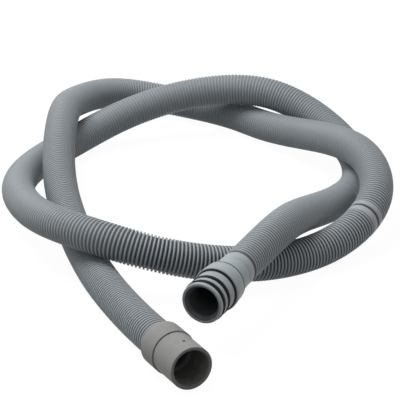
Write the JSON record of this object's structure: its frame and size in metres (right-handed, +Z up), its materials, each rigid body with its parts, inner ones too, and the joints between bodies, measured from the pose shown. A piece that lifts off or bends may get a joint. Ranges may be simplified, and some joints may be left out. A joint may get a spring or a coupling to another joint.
{
  "type": "dishwasher_drain_hose",
  "caption": "Flexible corrugated drain hose in a loose double loop, with a rubber outlet cuff, a moulded inlet spigot with O rings and a plain moulded band part way along",
  "frame": {"origin": "centre of the plan outline, on the surface that the hose lies on", "axes": "+Z up, +Y away from the two mouths along the loop's longer side, +X to the right seen from the mouths"},
  "size_m": [0.2858, 0.5294, 0.0539],
  "materials": {
    "hose": "blown polypropylene, satin",
    "cuff": "soft moulded rubber, matte",
    "spigot": "moulded polypropylene, satin",
    "seal": "black rubber, smooth"
  },
  "bodies": {
    "root": {"hose_tube": "hose", "outlet_cuff": "cuff", "inlet_spigot": "spigot", "o_ring_front": "seal", "o_ring_rear": "seal"}
  },
  "joints": []
}
